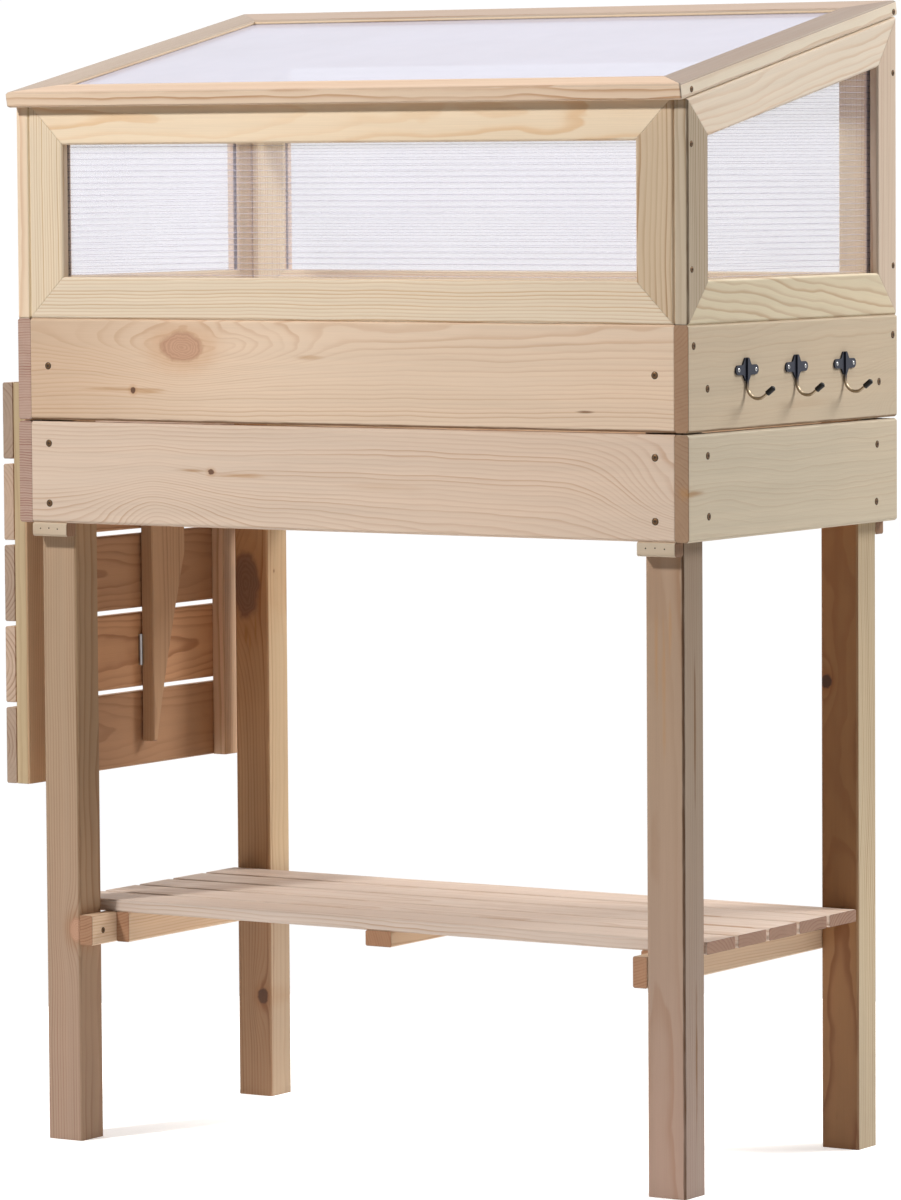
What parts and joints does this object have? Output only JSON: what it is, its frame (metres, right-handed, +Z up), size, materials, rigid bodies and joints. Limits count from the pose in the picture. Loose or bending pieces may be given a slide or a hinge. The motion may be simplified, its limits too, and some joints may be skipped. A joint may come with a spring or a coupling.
{
  "type": "raised bed with cold frame",
  "caption": "Wooden raised bed on legs with a slatted shelf, a glazed cold frame with a hinged sloping lid, a fold-up side table and tool hooks.",
  "frame": {"origin": "on the ground, under the middle of the overall box", "axes": "+Z up, the front towards -Y, the side table at -X and the hooks at +X"},
  "size_m": [0.9732, 0.4998, 1.3208],
  "materials": {
    "pine": "planed, untreated",
    "twin_wall": "clear twin-wall polycarbonate",
    "hinge_steel": "zinc plated",
    "hook_metal": "gunmetal, satin",
    "hook_tip": "moulded"
  },
  "bodies": {
    "bed": {"board_front_lower": "pine", "board_front_upper": "pine", "board_left_lower": "pine", "board_left_upper": "pine", "board_rear_lower": "pine", "board_rear_upper": "pine", "board_right_lower": "pine", "board_right_upper": "pine", "corner_blocks": "pine", "floor_bearers": "pine", "floor_slats": "pine", "hinge_leaves_bed": "hinge_steel", "hook_tips": "hook_tip", "hooks": "hook_metal", "leg_front_left": "pine", "leg_front_right": "pine", "leg_rear_left": "pine", "leg_rear_right": "pine", "shelf_cleat_centre": "pine", "shelf_cleat_left": "pine", "shelf_cleat_right": "pine", "shelf_ledger_left": "pine", "shelf_ledger_right": "pine", "shelf_slat_1": "pine", "shelf_slat_2": "pine", "shelf_slat_3": "pine", "shelf_slat_4": "pine", "shelf_slat_5": "pine", "wall_front_sheet": "twin_wall", "wall_front_sill": "pine", "wall_front_stile_left": "pine", "wall_front_stile_right": "pine", "wall_front_top_rail": "pine", "wall_left_sheet": "twin_wall", "wall_left_sill": "pine", "wall_left_stile_left": "pine", "wall_left_stile_right": "pine", "wall_left_top_rail": "pine", "wall_rear_sheet": "twin_wall", "wall_rear_sill": "pine", "wall_rear_stile_left": "pine", "wall_rear_stile_right": "pine", "wall_rear_top_rail": "pine", "wall_right_sheet": "twin_wall", "wall_right_sill": "pine", "wall_right_stile_left": "pine", "wall_right_stile_right": "pine", "wall_right_top_rail": "pine"},
    "lid": {"lid_sheet": "twin_wall", "lid_sill": "pine", "lid_stile_left": "pine", "lid_stile_right": "pine", "lid_top_rail": "pine", "hinge_leaves_lid": "hinge_steel"},
    "side_table": {"table_batten_front": "pine", "table_batten_rear": "pine", "table_slats": "pine", "hinge_leaves_table": "hinge_steel"},
    "bracket": {"bracket": "pine", "hinge_leaves_bracket": "hinge_steel"}
  },
  "joints": [
    {"name": "lid_open", "type": "hinge", "parent": "bed", "child": "lid", "pos_m": [0, 0.2471, 1.30385], "axis": [-1, 0, 0], "range_deg": [0, 100]},
    {"name": "table_raise", "type": "hinge", "parent": "bed", "child": "side_table", "pos_m": [-0.4533, 0.0059, 0.8892], "axis": [0, 1, 0], "range_deg": [0, 90]},
    {"name": "bracket_swing", "type": "hinge", "parent": "side_table", "child": "bracket", "pos_m": [-0.46999, 0.0361, 0.6], "axis": [0, 0, -1], "range_deg": [0, 90]}
  ],
  "couplings": [
    {"joint": "bracket_swing", "follows": "table_raise", "ratio": 1}
  ]
}
